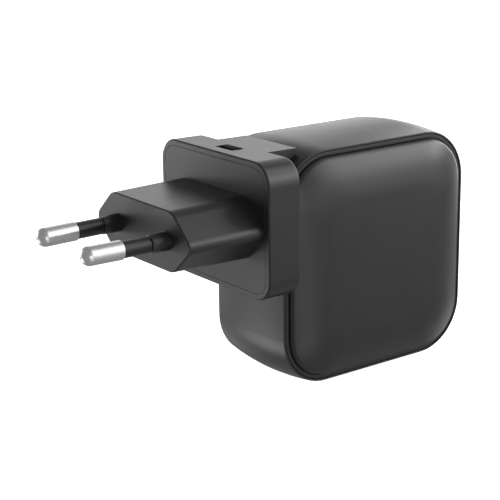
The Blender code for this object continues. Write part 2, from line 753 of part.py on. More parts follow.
def make_transformer():
    """Two ferrite halves that meet in a bobbin, with the winding round it."""
    x, z = 55 * MM, -18 * MM
    half_width, half_height, leg, plate = 8 * MM, 5 * MM, 2 * MM, 2.5 * MM
    front, rear = -11.5 * MM, MAIN_BOARD_Y - 0.4 * MM
    middle = (front + rear) / 2
    halves = (
        ("front", front, front + plate, middle - GAP / 2),
        ("rear", rear, rear - plate, middle + GAP / 2),
    )
    for end, outside, inside, meeting in halves:
        low, high = sorted((outside, inside))
        core = box(
            f"transformer_core_{end}", (x - half_width, low, z - half_height),
            (x + half_width, high, z + half_height), "ferrite",
        )
        root = (outside + inside) / 2
        low, high = sorted((root, meeting))
        for side in (-1, 1):
            edges = sorted((x + side * half_width, x + side * (half_width - leg)))
            join(core, box(
                f"core_leg_{end}_{side}", (edges[0], low, z - half_height),
                (edges[1], high, z + half_height),
            ))
        join(core, cylinder(f"core_post_{end}", (x, root, z), (x, meeting, z), 2.5 * MM))
    bobbin_front, bobbin_rear = front + plate + GAP, rear - plate - GAP
    length = bobbin_rear - bobbin_front
    bore, barrel, flange, cheek = 2.85 * MM, 3.6 * MM, 5.6 * MM, 0.8 * MM
    spool = (
        (flange, length), (flange, length - cheek), (barrel, length - cheek), (barrel, cheek),
        (flange, cheek), (flange, 0), (bore, 0), (bore, length),
    )
    top, bottom = length - cheek - GAP, cheek + GAP
    ring = ((flange - GAP, top), (flange - GAP, bottom), (barrel + GAP, bottom), (barrel + GAP, top))
    for name, profile, material in (
        ("transformer_bobbin", spool, "black_plastic"), ("transformer_winding", ring, "yellow_film"),
    ):
        piece = turned(name, profile, material, closed=True)
        piece.location = (x, bobbin_front, z)
        piece.rotation_euler = (-pi / 2, 0, 0)


def make_components():
    """The other large components, each standing on a board's face."""
    board = MAIN_BOARD_Y - GAP
    for number, y in ((1, -6.6 * MM), (2, 3.0 * MM)):
        cylinder(
            f"bulk_capacitor_{number}", (38.6 * MM, y, -34 * MM), (38.6 * MM, y, -15 * MM),
            4.7 * MM, "aluminium",
        )
    for number, z in ((1, -31 * MM), (2, -24 * MM), (3, -17 * MM)):
        cylinder(
            f"output_capacitor_{number}", (66.4 * MM, -1 * MM, z), (66.4 * MM, board, z),
            2.9 * MM, "aluminium",
        )
    fuse_y = board - 1.9 * MM
    cylinder("fuse", (48 * MM, fuse_y, 6 * MM), (57 * MM, fuse_y, 6 * MM), 1.8 * MM, "ceramic")
    disc_y = board - 2.6 * MM
    cylinder("y_capacitor", (62 * MM, disc_y, 4 * MM), (62 * MM, board, 4 * MM), 3.5 * MM, "ceramic")
    box("x_capacitor", (35.2 * MM, 1.5 * MM, -12 * MM), (46 * MM, board, -1 * MM), "yellow_film")
    box("bridge_rectifier", (48 * MM, board - 2.6 * MM, -33.5 * MM), (58 * MM, board, -29 * MM))
    box("controller_chip", (49 * MM, board - 1 * MM, -5 * MM), (54 * MM, board, -0.5 * MM))
    box("output_inductor", (63.6 * MM, board - 4.4 * MM, -11 * MM), (69.3 * MM, board, -5 * MM), "ferrite")
    back = MAIN_BOARD_Y + BOARD_THICKNESS + GAP
    box("power_switch", (48 * MM, back, -22 * MM), (56 * MM, back + 0.9 * MM, -14 * MM))
    box("rear_heat_plate", (36 * MM, 10.9 * MM, -31 * MM), (67 * MM, 11.5 * MM, 6 * MM), "copper")
    box("front_heat_plate", (38 * MM, -12.2 * MM, -29 * MM), (66 * MM, -11.7 * MM, 4 * MM), "copper")
    box(
        "insulation_sheet", (37.5 * MM, 11.8 * MM, -29.5 * MM), (66.5 * MM, 12.1 * MM, 5 * MM),
        "insulation",
    )
    choke = ring_loops((40 * MM, 4.4 * MM, 4.9 * MM), 3.8 * MM, 1.6 * MM)
    loft("common_mode_choke", choke, "copper", wrap=True)


def ring_loops(centre, major, minor, around=16, section=8):
    """Loops of a torus whose axis is Y."""
    x, y, z = centre
    loops = []
    for i in range(section):
        tilt = 2 * pi * i / section
        radius = major + minor * cos(tilt)
        turns = [2 * pi * k / around for k in range(around)]
        loops.append([(x + radius * cos(a), y + minor * sin(tilt), z + radius * sin(a)) for a in turns])
    return loops


def shade(pieces):
    """Smooth shading on round surfaces, flat across their sharp edges."""
    for piece in pieces:
        if piece.type == "MESH":
            piece.data.shade_smooth()
            piece.data.set_sharp_from_angle(angle=radians(35))


clear_scene()
parts = make_collection("usb_wall_charger")
cutters = make_collection("cutters")
materials = {name: make_material(name, *look) for name, look in MATERIALS.items()}

adapter = make_empty("adapter_head", (BLOCK_BACK, 0, 0))
latch = make_empty("latch", (BUTTON_FRONT, 0, BUTTON_TOP), adapter)

make_plug_cover()
make_adapter_shell()
make_adapter_back_plate()
make_pins()
make_contact_strips()
make_latch()
make_mid_shell()
make_rims_and_panels()
make_dock()
make_inlet_wires()
make_ports()
make_boards()
make_transformer()
make_components()
shade(parts.objects)
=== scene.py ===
"""Looks of the USB wall charger: smooth shells, fine seams and procedural materials.

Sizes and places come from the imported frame, whose plain nodes the visible pieces stand for.
"""

from math import atan2, cos, pi, radians, sin, sqrt, tan

import bmesh
import bpy
from mathutils import Matrix, Vector


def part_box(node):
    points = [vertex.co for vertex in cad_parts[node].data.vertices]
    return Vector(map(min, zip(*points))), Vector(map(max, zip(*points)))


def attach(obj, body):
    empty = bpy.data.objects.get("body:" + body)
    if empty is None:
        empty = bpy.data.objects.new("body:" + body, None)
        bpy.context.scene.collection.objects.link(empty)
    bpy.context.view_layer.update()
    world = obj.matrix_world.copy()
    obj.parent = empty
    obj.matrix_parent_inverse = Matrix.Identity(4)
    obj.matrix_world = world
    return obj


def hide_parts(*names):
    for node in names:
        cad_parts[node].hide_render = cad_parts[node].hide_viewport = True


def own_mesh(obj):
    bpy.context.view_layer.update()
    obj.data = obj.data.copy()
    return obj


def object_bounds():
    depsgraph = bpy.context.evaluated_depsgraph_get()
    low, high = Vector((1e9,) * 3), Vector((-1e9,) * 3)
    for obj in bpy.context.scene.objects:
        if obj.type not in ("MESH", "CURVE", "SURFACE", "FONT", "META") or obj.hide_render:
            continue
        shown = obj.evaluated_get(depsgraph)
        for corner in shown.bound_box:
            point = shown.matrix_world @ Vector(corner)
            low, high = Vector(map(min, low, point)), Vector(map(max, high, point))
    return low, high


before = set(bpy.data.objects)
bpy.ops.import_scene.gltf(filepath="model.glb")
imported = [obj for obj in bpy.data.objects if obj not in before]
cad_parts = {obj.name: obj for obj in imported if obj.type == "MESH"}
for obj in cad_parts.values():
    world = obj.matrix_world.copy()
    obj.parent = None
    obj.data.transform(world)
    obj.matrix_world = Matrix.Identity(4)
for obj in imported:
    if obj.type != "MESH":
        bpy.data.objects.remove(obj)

MM = 0.001
cad_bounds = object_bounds()

# Places and sizes that the frame gives.
shell_low, shell_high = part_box("mid_shell")
panel_low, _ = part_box("front_panel")
block_low, block_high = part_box("adapter_shell")
_, cover_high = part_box("plug_cover")
plate_low, plate_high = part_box("adapter_back_plate")
_, slider_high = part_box("latch_slider")
dock_low, dock_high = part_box("dock_plate")

# Camera: its lens and sensor in millimetres, its place in metres, and its own axes' directions.
LENS = 101.6
SENSOR_WIDTH = 36.0
CAMERA_PLACE = (-0.146906, -0.236413, 0.075734)
CAMERA_RIGHT = (0.80247, -0.59654, -0.01329)
CAMERA_UP = (0.17547, 0.21463, 0.96080)
CAMERA_AHEAD = (0.57031, 0.77335, -0.27691)

# Studio. FLOOR_MIDDLE is the floor's middle in plan, and LIGHT_CENTRE is what the softboxes face.
FLOOR_GLOW = 1.0
FLOOR_SIZE = 3.0
FLOOR_MIDDLE = (0.05, 0)
WORLD_FILL = 0.35
LIGHT_CENTRE = (0.04, 0, -0.01)
LIGHT_DISTANCE = 1.0
SOFTBOX_DIAMETER = 0.42

# Each softbox's name, turn about the charger, height above it (both in degrees) and power (watts).
SOFTBOXES = (
    ("key", 330, 22, 3.9),
    ("key_side", 300, 22, 1.4),
    ("high_front", 303, 45, 0.8),
    ("high_right", 339, 45, 1.0),
    ("upper_right", 0, 22, 2.6),
    ("upper_rear_right", 30, 22, 1.9),
    ("upper_rear", 60, 22, 0.6),
    ("front_left", 255, 0, 1.4),
    ("front", 285, 0, 0.5),
    ("front_right", 315, 0, 0.6),
    ("right_front", 345, 0, 0.1),
    ("right", 15, 0, 2.5),
    ("rear_right", 45, 0, 0.8),
    ("rear_corner", 90, -30, 0.2),
    ("rear", 105, 0, 5.5),
    ("low_front", 270, -30, 0.6),
    ("low_right", 0, -30, 0.4),
    ("low_rear_left", 135, -30, 1.6),
)

# Charger body.
CROWN = 0.92 * MM
HALF_DEPTH = shell_high.y
EDGE_LEFT = shell_low.x + CROWN
EDGE_RIGHT = shell_high.x - CROWN
EDGE_BOTTOM = shell_low.z + CROWN
EDGE_TOP = shell_high.z - CROWN
CORNER = 11.5 * MM
SHELL_WALL = 2.0 * MM
SEAM = 0.12 * MM

# Recess at each face, with the trim ring and the panel in it.
LIP = 0.42 * MM
RECESS_FLOOR = 11.2 * MM
RIM_BACK = 11.3 * MM
RIM_OUTER = 0.58 * MM
RIM_INNER = 1.38 * MM
RIM_HEIGHT = 11.95 * MM
PANEL_EDGE = 1.53 * MM
PANEL_START = 12.0 * MM
PANEL_LEDGE = 0.7 * MM
PANEL_ROLL = 9.5 * MM
PANEL_DOME = 0.3 * MM
PANEL_WALL = 1.5 * MM
PANEL_TOP = -panel_low.y

# Plug head.
PLUG_FACE = 0.0
PLUG_DEPTH = block_low.x
COVER_BACK = cover_high.x
BLOCK_HALF_WIDTH = block_high.y
BLOCK_BACK = 26.0 * MM
BLOCK_CORNER = 5.0 * MM
BLOCK_RIM = 1.28 * MM
BLOCK_WALL = 2.4 * MM
BLOCK_FALL = 0.015
BLOCK_FRONT_CHAMFER = 0.3 * MM
BLOCK_BACK_ROUND = 0.35 * MM
SEAT_FRONT = 24.5 * MM
TONGUE_HALF_WIDTH = 8.8 * MM
TONGUE_END = block_high.x
TONGUE_UNDER = 13.1 * MM
TONGUE_ROOT = 9.0 * MM
PLUG_HALF_WIDTH = 17.75 * MM
PLUG_HALF_FLAT = 11.4 * MM
PLUG_HALF_HEIGHT = 6.385 * MM
PLUG_DRAFT = Vector((0.14, 0.42)) * MM
PIN_SPACING = 18.6 * MM
PIN_LEAN = radians(1.84)
PIN_LENGTH = 19.25 * MM
PIN_RADIUS = 1.99 * MM
PIN_BARE = 8.8 * MM
SHANK_RADIUS = 1.2 * MM
SLEEVE_RADIUS = 1.75 * MM
COLLAR_RADIUS = 1.88 * MM
COLLAR_FOOT = 1.98 * MM
COLLAR_LENGTH = 4.1 * MM

# Dock.
DOCK_TOP = 5.5 * MM
DOCK_BOTTOM = -11.0 * MM
STEM_HALF = 8.0 * MM
STEM_OPENING = 8.3 * MM
CONTACT_PLACE = Vector((6.2, -2.5)) * MM

# Latch.
SLOT_FRONT = 20.8 * MM
SLOT_BACK = 24.1 * MM
SLOT_HALF = 3.0 * MM
BUTTON_FRONT = 22.25 * MM
BUTTON_BACK = 23.95 * MM
BOLT_HALF = 2.5 * MM
BOLT_BOTTOM = 9.6 * MM
BOLT_TOP = 10.5 * MM
BOLT_GAP = 0.3 * MM

# Cutting tools start at CUT_LEFT, clear of the body's left side, and end at CUT_ROOF, above everything.
CUT_LEFT = 20 * MM
CUT_ROOF = 20 * MM


# Mesh helpers.


def link(name, data):
    piece = bpy.data.objects.new(name, data)
    bpy.context.scene.collection.objects.link(piece)
    return piece


def piece_from(name, builder):
    mesh = bpy.data.meshes.new(name)
    builder.to_mesh(mesh)
    builder.free()
    return link(name, mesh)


def loft(name, loops, wrap=False):
    """Skin closed loops of equal length, in order, and cap both ends. wrap joins the ends instead."""
    builder = bmesh.new()
    rings = [[builder.verts.new(point) for point in loop] for loop in loops]
    pairs = list(zip(rings, rings[1:]))
    if wrap:
        pairs.append((rings[-1], rings[0]))
    for lower, upper in pairs:
        count = len(lower)
        for i in range(count):
            j = (i + 1) % count
            builder.faces.new((lower[i], lower[j], upper[j], upper[i]))
    if not wrap:
        builder.faces.new(rings[0])
        builder.faces.new(rings[-1])
    bmesh.ops.recalc_face_normals(builder, faces=builder.faces)
    return piece_from(name, builder)


def turned(name, profile, steps=48, closed=False):
    """Turn (radius, height) points about local Z. The axis itself is a very thin tube."""
    thinnest = 0.002 * MM
    loops = []
    for radius, height in profile:
        radius = max(radius, thinnest)
        turns = [2 * pi * k / steps for k in range(steps)]
        loops.append([(radius * cos(a), radius * sin(a), height) for a in turns])
    return loft(name, loops, wrap=closed)


def box(name, low, high, round_edges=0.0, segments=2):
    low, high = Vector(low), Vector(high)
    builder = bmesh.new()
    size = Matrix.Diagonal((*(high - low), 1.0))
    bmesh.ops.create_cube(builder, size=1.0, matrix=Matrix.Translation((low + high) / 2) @ size)
    piece = piece_from(name, builder)
    if round_edges:
        bevel(piece, round_edges, segments)
    return piece


def bevel(piece, width, segments=2, angle=30):
    step = piece.modifiers.new("bevel", "BEVEL")
    step.width = width
    step.segments = segments
    step.limit_method = "ANGLE"
    step.angle_limit = radians(angle)
    step.harden_normals = False
    settle(piece)


def settle(piece):
    """Make what the modifiers give the piece's own mesh."""
    bpy.context.view_layer.update()
    shown = piece.evaluated_get(bpy.context.evaluated_depsgraph_get())
    mesh = bpy.data.meshes.new_from_object(shown)
    piece.modifiers.clear()
    piece.data = mesh


def combine(piece, tools, operation):
    for tool in tools:
        step = piece.modifiers.new("combine", "BOOLEAN")
        step.operation = operation
        step.object = tool
        settle(piece)
        bpy.data.objects.remove(tool)


def cut(piece, *tools):
    combine(piece, tools, "DIFFERENCE")


def join(piece, *tools):
    combine(piece, tools, "UNION")


def finish(piece, material, slot, body, *nodes, sharp=35, weighted=True):
    """Shade, paint and hang a finished piece on its body, in place of its CAD nodes."""
    piece.data.materials.clear()
    piece.data.materials.append(material)
    if piece.type == "MESH":
        piece.data.shade_smooth()
        piece.data.set_sharp_from_angle(angle=radians(sharp))
        if weighted:
            normals = piece.modifiers.new("normals", "WEIGHTED_NORMAL")
            normals.keep_sharp = True
    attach(piece, body)
    if nodes:
        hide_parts(*nodes)
    return piece


# Outlines: lists of (u, v) points, anticlockwise.


def rounded_polygon(corners, radii, arc=8, edge=1):
    """Each corner rounded by its own arc, and each straight side split into edge parts."""
    sharpest = 0.001 * MM
    corners = [Vector(corner) for corner in corners]
    arcs = []
    for i, corner in enumerate(corners):
        before = (corners[i - 1] - corner).normalized()
        after = (corners[(i + 1) % len(corners)] - corner).normalized()
        half_angle = before.angle(after) / 2
        radius = max(radii[i], sharpest)
        centre = corner + (before + after).normalized() * (radius / sin(half_angle))
        start = corner + before * (radius / tan(half_angle)) - centre
        end = corner + after * (radius / tan(half_angle)) - centre
        first = atan2(start.y, start.x)
        sweep = (atan2(end.y, end.x) - first) % (2 * pi)
        turns = [first + sweep * k / arc for k in range(arc + 1)]
        arcs.append([centre + Vector((cos(a), sin(a))) * radius for a in turns])
    outline = []
    for i, points in enumerate(arcs):
        outline += points
        following = arcs[(i + 1) % len(arcs)][0]
        outline += [points[-1].lerp(following, k / edge) for k in range(1, edge)]
    return [tuple(point) for point in outline]


def rounded_rectangle(u_low, u_high, v_low, v_high, radius, arc=8, edge=1):
    corners = ((u_high, v_low), (u_high, v_high), (u_low, v_high), (u_low, v_low))
    return rounded_polygon(corners, [radius] * 4, arc, edge)


def along_x(outline, x):
    return [(x, y, z) for y, z in outline]


def along_y(outline, y):
    return [(x, y, z) for x, z in outline]


def fillet(radius, steps=4):
    """(inset, depth) points of a quarter-round edge, from the face inwards to the side."""
    turns = [pi / 2 * k / steps for k in range(steps + 1)]
    return [(radius * (1 - sin(a)), radius * (1 - cos(a))) for a in turns]


# Charger body.


def crown(y):
    """How far the four sides bulge past their edges at this y."""
    return CROWN * (1 - (y / HALF_DEPTH) ** 2)


def body_outline(offset):
    """The body's four-sided outline, moved out by offset."""
    arc, edge = 14, 8
    return rounded_rectangle(
        EDGE_LEFT - offset, EDGE_RIGHT + offset, EDGE_BOTTOM - offset, EDGE_TOP + offset,
        CORNER + offset, arc, edge,
    )


def body_solid(name, extra, half_depth):
    """The crowned body as one solid, grown by extra, to cut others with."""
    stations = 16
    ys = [-half_depth + 2 * half_depth * k / stations for k in range(stations + 1)]
    return loft(name, [along_y(body_outline(crown(y) + extra), y) for y in ys])


def make_mid_shell():
    """The crowned housing with rounded lips, and at each face a recess for the ring and the panel."""
    stations = 32
    edge, edge_steps = 0.16 * MM, 5
    straight = HALF_DEPTH - edge
    outer = [(crown(straight) - inset, -HALF_DEPTH + depth) for inset, depth in fillet(edge, edge_steps)]
    ys = [-straight + 2 * straight * k / stations for k in range(1, stations)]
    outer += [(crown(y), y) for y in ys]
    outer += [(offset, -y) for offset, y in reversed(outer[:edge_steps + 1])]
    soft = 0.05 * MM
    lip = [(-LIP + soft, HALF_DEPTH), (-LIP, HALF_DEPTH - soft), (-LIP, RECESS_FLOOR)]
    inner_y = 6 * MM
    inner_ys = (RECESS_FLOOR, inner_y, 0, -inner_y, -RECESS_FLOOR)
    inner = [(crown(y) - SHELL_WALL, y) for y in inner_ys]
    profile = outer + lip + inner + [(offset, -y) for offset, y in reversed(lip)]
    shell = loft("charger_housing", [along_y(body_outline(offset), y) for offset, y in profile], wrap=True)
    cut_for_head(shell)
    cut_for_ports(shell)
    finish(shell, charcoal, "charcoal_plastic", "charger_body", "mid_shell")


def cut_for_head(shell):
    """The dock's opening, the tongue's seat and the bolt's pocket."""
    opening_left, opening_right = 24 * MM, 30 * MM
    opening_bottom, opening_top = dock_low.z + 1.1 * MM, dock_high.z - 0.4 * MM
    cut(shell, box(
        "opening", (opening_left, -STEM_OPENING, opening_bottom), (opening_right, STEM_OPENING, opening_top),
    ))
    seat = TONGUE_HALF_WIDTH + SEAM
    seat_bottom, seat_corner = TONGUE_UNDER - 0.2 * MM, 0.35 * MM
    outline = rounded_rectangle(CUT_LEFT, TONGUE_END + SEAM, -seat, seat, seat_corner, arc=4)
    cut(shell, loft("seat", [[(x, y, z) for x, y in outline] for z in (seat_bottom, CUT_ROOF)]))
    bolt, pocket_end = BOLT_HALF + BOLT_GAP, 30.5 * MM
    cut(shell, box(
        "pocket", (CUT_LEFT, -bolt, BOLT_BOTTOM - BOLT_GAP), (pocket_end, bolt, BOLT_TOP + BOLT_GAP),
    ))


def cut_for_ports(shell):
    gap, inside, outside = 0.12 * MM, 1 * MM, 83 * MM
    for name, _ in PORTS:
        low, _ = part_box(name)
        outline = port_outline(name, -gap)
        cut(shell, loft("mouth", [along_x(outline, x) for x in (low.x + inside, outside)]))


def make_rim(side, end):
    """The thin flat ring between the housing's lip and the panel, its edges rounded."""
    outer_edge, inner_edge = 0.14 * MM, 0.08 * MM
    profile = [(-RIM_OUTER, RIM_BACK)]
    for inset, depth in reversed(fillet(outer_edge, steps=4)):
        profile.append((-RIM_OUTER - inset, RIM_HEIGHT - depth))
    for inset, depth in fillet(inner_edge, steps=3):
        profile.append((-RIM_INNER + inset, RIM_HEIGHT - depth))
    profile.append((-RIM_INNER, RIM_BACK))
    loops = [along_y(body_outline(offset), side * y) for offset, y in profile]
    ring = loft(f"{end}_trim_ring", loops, wrap=True)
    finish(ring, charcoal, "black_plastic", "charger_body", f"{end}_rim")


def roll_share(inset):
    """How much of its height the roll has reached: steepest at the edge, easing into the middle."""
    left = 1 - min(inset / PANEL_ROLL, 1.0)
    return 1 - left ** 2


def make_panel(side, end):
    """The cushion-shaped panel: a rounded ledge, a broad roll and an all but flat middle."""
    half_x = (EDGE_RIGHT - EDGE_LEFT) / 2 - PANEL_EDGE
    half_z = (EDGE_TOP - EDGE_BOTTOM) / 2 - PANEL_EDGE
    centre_x = (EDGE_LEFT + EDGE_RIGHT) / 2
    centre_z = (EDGE_BOTTOM + EDGE_TOP) / 2
    edge = PANEL_LEDGE
    rise = PANEL_TOP - PANEL_START - edge - PANEL_DOME
    tightening, widening, roundest = 0.55, 0.3, 0.98
    arc = straight = 14

    def loop_at(inset, wall):
        half = half_x - inset, half_z - inset
        radius = CORNER - PANEL_EDGE
        radius += max(inset - PANEL_ROLL, 0) * widening - min(inset, PANEL_ROLL) * tightening
        outline = rounded_rectangle(
            -half[0], half[0], -half[1], half[1], min(radius, min(half) * roundest), arc, straight,
        )
        height = PANEL_START - wall + sqrt(edge ** 2 - (edge - min(inset, edge)) ** 2)
        height += rise * roll_share(inset) + PANEL_DOME * (1 - (1 - inset / half_x) ** 2)
        return [(centre_x + u, side * height, centre_z + v) for u, v in outline]

    edge_steps, steps, spacing, heart = 8, 44, 1.4, 0.8 * MM
    insets = [edge * (1 - cos(pi / 2 * k / edge_steps)) for k in range(edge_steps)]
    reach = half_x - edge - heart
    insets += [edge + reach * (k / steps) ** spacing for k in range(steps + 1)]
    outer = [loop_at(inset, 0) for inset in insets]
    inner = [loop_at(inset, PANEL_WALL) for inset in insets if inset > PANEL_WALL]
    foot = side * (RIM_BACK + 0.05 * MM)
    skirt = [(x, foot, z) for x, _, z in outer[0]]
    inner_skirt = [(x, foot, z) for x, _, z in loop_at(PANEL_WALL, PANEL_WALL)]
    panel = loft(f"{end}_cushion_panel", [*reversed(inner), inner_skirt, skirt, *outer])
    finish(panel, charcoal, "charcoal_plastic", "charger_body", f"{end}_panel", weighted=False, sharp=50)


# Ports.


PORTS = (
    ("usb_c_shell_1", "usb_c_tongue_1"),
    ("usb_c_shell_2", "usb_c_tongue_2"),
    ("usb_a_shell", "usb_a_tongue"),
)


def port_outline(name, inset, arc=10):
    """The port's mouth: round-ended for USB-C, and a rectangle with small corners for USB-A."""
    low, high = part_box(name)
    half = Vector((high.y - low.y, high.z - low.z)) / 2 - Vector((inset, inset))
    height = (low.z + high.z) / 2
    roundest, corner = 0.98, 0.7 * MM
    radius = half.y * roundest if "usb_c" in name else corner
    return rounded_rectangle(-half.x, half.x, height - half.y, height + half.y, radius, arc)


def make_port(shell_name, tongue_name):
    """A drawn metal shell with a rolled lip, and a tongue with its rows of contacts."""
    low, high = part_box(shell_name)
    wall, lip = 0.3 * MM, 0.12 * MM
    profile = [(0, low.x), (0, high.x - lip), (0.04 * MM, high.x - 0.03 * MM), (lip, high.x)]
    profile += [(wall - 0.06 * MM, high.x), (wall, high.x - 0.08 * MM), (wall, low.x)]
    loops = [along_x(port_outline(shell_name, inset), x) for inset, x in profile]
    finish(loft(f"{shell_name}_drawn", loops, wrap=True), port_steel, "nickel", "charger_body", shell_name)
    is_c = "usb_c" in shell_name
    if is_c:
        half, bottom, top = 3.35 * MM, -0.35 * MM, 0.35 * MM
    else:
        half, bottom, top = 5.55 * MM, 0.1 * MM, 1.9 * MM
    height = (low.z + high.z) / 2
    tongue_low, tongue_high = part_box(tongue_name)
    base_gap, base_depth, overlap = 0.05 * MM, 1.7 * MM, 1 * MM
    base_outline = port_outline(shell_name, wall + base_gap, arc=6)
    base = [along_x(base_outline, x) for x in (tongue_low.x, tongue_low.x + base_depth)]
    back = loft(f"{tongue_name}_moulding", base)
    blade = box(
        "blade", (tongue_low.x + overlap, -half, height + bottom), (tongue_high.x, half, height + top),
        round_edges=0.12 * MM, segments=3,
    )
    join(back, blade)
    finish(back, satin_black if is_c else port_white, "black_plastic", "charger_body", tongue_name)
    faces = (bottom, top) if is_c else (bottom,)
    for number, face in enumerate(faces):
        thickness = 0.04 * MM
        z_low = height + face - (thickness if face <= top / 2 else 0)
        make_contacts(f"{shell_name}_contacts_{number}", is_c, tongue_high.x, z_low, thickness)


def make_contacts(name, is_c, tip, z_low, thickness):
    """One row of thin gilt strips, just short of the tongue's tip."""
    if is_c:
        count, pitch, width, reach = 12, 0.5 * MM, 0.25 * MM, 1.2 * MM
    else:
        count, pitch, width, reach = 4, 2.3 * MM, 1.0 * MM, 2.4 * MM
    end = tip - 0.5 * MM
    row = None
    for k in range(count):
        y = (k - (count - 1) / 2) * pitch
        contact = box(name, (end - reach * 2, y - width / 2, z_low), (end, y + width / 2, z_low + thickness))
        row = contact if row is None else merge(row, contact)
    finish(row, gold, "brass", "charger_body", weighted=False)


def merge(first, second):
    """Put a second piece's mesh into the first piece."""
    builder = bmesh.new()
    builder.from_mesh(first.data)
    builder.from_mesh(second.data)
    builder.to_mesh(first.data)
    builder.free()
    bpy.data.objects.remove(second)
    return first


# Plug head.


def block_outline(inset, arc=14):
    return rounded_rectangle(
        -BLOCK_HALF_WIDTH + inset, BLOCK_HALF_WIDTH - inset, block_low.z + inset, block_high.z - inset,
        BLOCK_CORNER - inset, arc,
    )


def fall(piece):
    """Lean the block's top surface down towards the body, and its sides ever less below it."""
    fading = 4
    for vertex in piece.data.vertices:
        reach = max(vertex.co.x - PLUG_DEPTH, 0)
        share = min(max(vertex.co.z / block_high.z, 0), 1)
        vertex.co.z -= BLOCK_FALL * reach * share ** fading


def top_at(x):
    """The height of the block's and the tongue's top at this x."""
    return block_high.z - BLOCK_FALL * (x - PLUG_DEPTH)


def make_adapter_shell():
    """The block's ring wall with its tongue, cut for the latch and the dock."""
    seam_width, step = 0.04 * MM, COVER_BACK + 0.2 * MM
    profile = [(BLOCK_FRONT_CHAMFER, PLUG_DEPTH), (0, PLUG_DEPTH + BLOCK_FRONT_CHAMFER)]
    profile += [(inset, BLOCK_BACK - depth) for inset, depth in reversed(fillet(BLOCK_BACK_ROUND))]
    profile += [
        (BLOCK_RIM, BLOCK_BACK), (BLOCK_RIM, SEAT_FRONT), (BLOCK_WALL, SEAT_FRONT),
        (BLOCK_WALL, step), (BLOCK_RIM, step),
        (BLOCK_RIM, PLUG_DEPTH + seam_width), (BLOCK_RIM - seam_width, PLUG_DEPTH),
    ]
    shell = loft("adapter_block", [along_x(block_outline(inset), x) for inset, x in profile], wrap=True)
    fall(shell)
    join(shell, tongue_solid())
    slot_bottom, slot_top, slot_corner = 11.5 * MM, 16 * MM, 0.3 * MM
    outline = rounded_rectangle(SLOT_FRONT, SLOT_BACK, -SLOT_HALF, SLOT_HALF, slot_corner, arc=4)
    cut(shell, loft("latch_slot", [[(x, y, z) for x, y in outline] for z in (slot_bottom, slot_top)]))
    notch, notch_front, notch_back = 11.3 * MM, 22.2 * MM, 27 * MM
    notch_bottom, notch_top = -16 * MM, -11.5 * MM
    cut(shell, box("dock_notch", (notch_front, -notch, notch_bottom), (notch_back, notch, notch_top)))
    finish(shell, charcoal, "charcoal_plastic", "adapter", "adapter_shell")


def tongue_solid():
    """The hook over the body's corner, hollowed to clear the body and the bolt."""
    start = 24.0 * MM
    side_view = (
        (start, TONGUE_UNDER), (BLOCK_BACK, TONGUE_UNDER), (BLOCK_BACK, TONGUE_ROOT),
        (TONGUE_END, TONGUE_ROOT), (TONGUE_END, top_at(TONGUE_END)), (start, top_at(start)),
    )
    tongue = loft("tongue", [along_y(side_view, y) for y in (-TONGUE_HALF_WIDTH, TONGUE_HALF_WIDTH)])
    under = body_solid("underside", SEAM, 9.5 * MM)
    recess, recess_end = 12 * MM, 34.5 * MM
    cut(under, box("recess", (CUT_LEFT, -recess, TONGUE_UNDER), (recess_end, recess, CUT_ROOF)))
    cut(tongue, under)
    bolt, slot_front, slot_end, slot_bottom = BOLT_HALF + BOLT_GAP, 25.5 * MM, 30.4 * MM, 5 * MM
    cut(tongue, box("bolt_slot", (slot_front, -bolt, slot_bottom), (slot_end, bolt, BOLT_TOP + BOLT_GAP)))
    bevel(tongue, width=0.22 * MM, segments=3, angle=50)
    return tongue


def make_back_plate():
    """The block's back cover, with the dock's slot and the bolt's hole."""
    edge = 0.12 * MM
    outline = block_outline(BLOCK_RIM + SEAM, arc=8)
    inner = block_outline(BLOCK_RIM + SEAM + edge, arc=8)
    plate = loft("adapter_back_cover", [
        along_x(outline, plate_low.x),
        along_x(outline, plate_high.x - edge),
        along_x(inner, plate_high.x),
    ])
    front, back = 24 * MM, 27 * MM
    dock_bottom, dock_top = -16 * MM, 5.8 * MM
    cut(plate, box("dock_slot", (front, -STEM_OPENING, dock_bottom), (back, STEM_OPENING, dock_top)))
    bolt = BOLT_HALF + BOLT_GAP
    cut(plate, box("bolt_hole", (front, -bolt, BOLT_BOTTOM - BOLT_GAP), (back, bolt, BOLT_TOP + BOLT_GAP)))
    finish(plate, charcoal, "charcoal_plastic", "adapter", "adapter_back_plate")


def plug_outline(inset, draft, arc=8):
    """The plug's six-sided section, inset for an edge or a wall and widened by its draft."""
    side_at_face, side_growth, ends = 1.9, 0.5, 4.5 * MM
    tip_inset, flat_inset, tip_reach = 1.4, 0.6, 0.3
    side = (side_at_face + side_growth * draft) * MM
    tip = PLUG_HALF_WIDTH + PLUG_DRAFT.x * draft - inset * tip_inset + side * tip_reach
    flat = PLUG_HALF_FLAT + PLUG_DRAFT.x * draft - inset * flat_inset
    height = PLUG_HALF_HEIGHT + PLUG_DRAFT.y * draft - inset
    corners = ((tip, 0), (flat, height), (-flat, height), (-tip, 0), (-flat, -height), (flat, -height))
    return rounded_polygon(corners, (side, ends, ends) * 2, arc)


def pin_place(piece, side):
    """Stand a turned piece on the plug's face, its local +Z towards the pin's tip."""
    lean = Matrix.Rotation(side * PIN_LEAN, 4, "Z") @ Matrix.Rotation(-pi / 2, 4, "Y")
    piece.data.transform(Matrix.Translation((0, side * PIN_SPACING / 2, 0)) @ lean)
    return piece


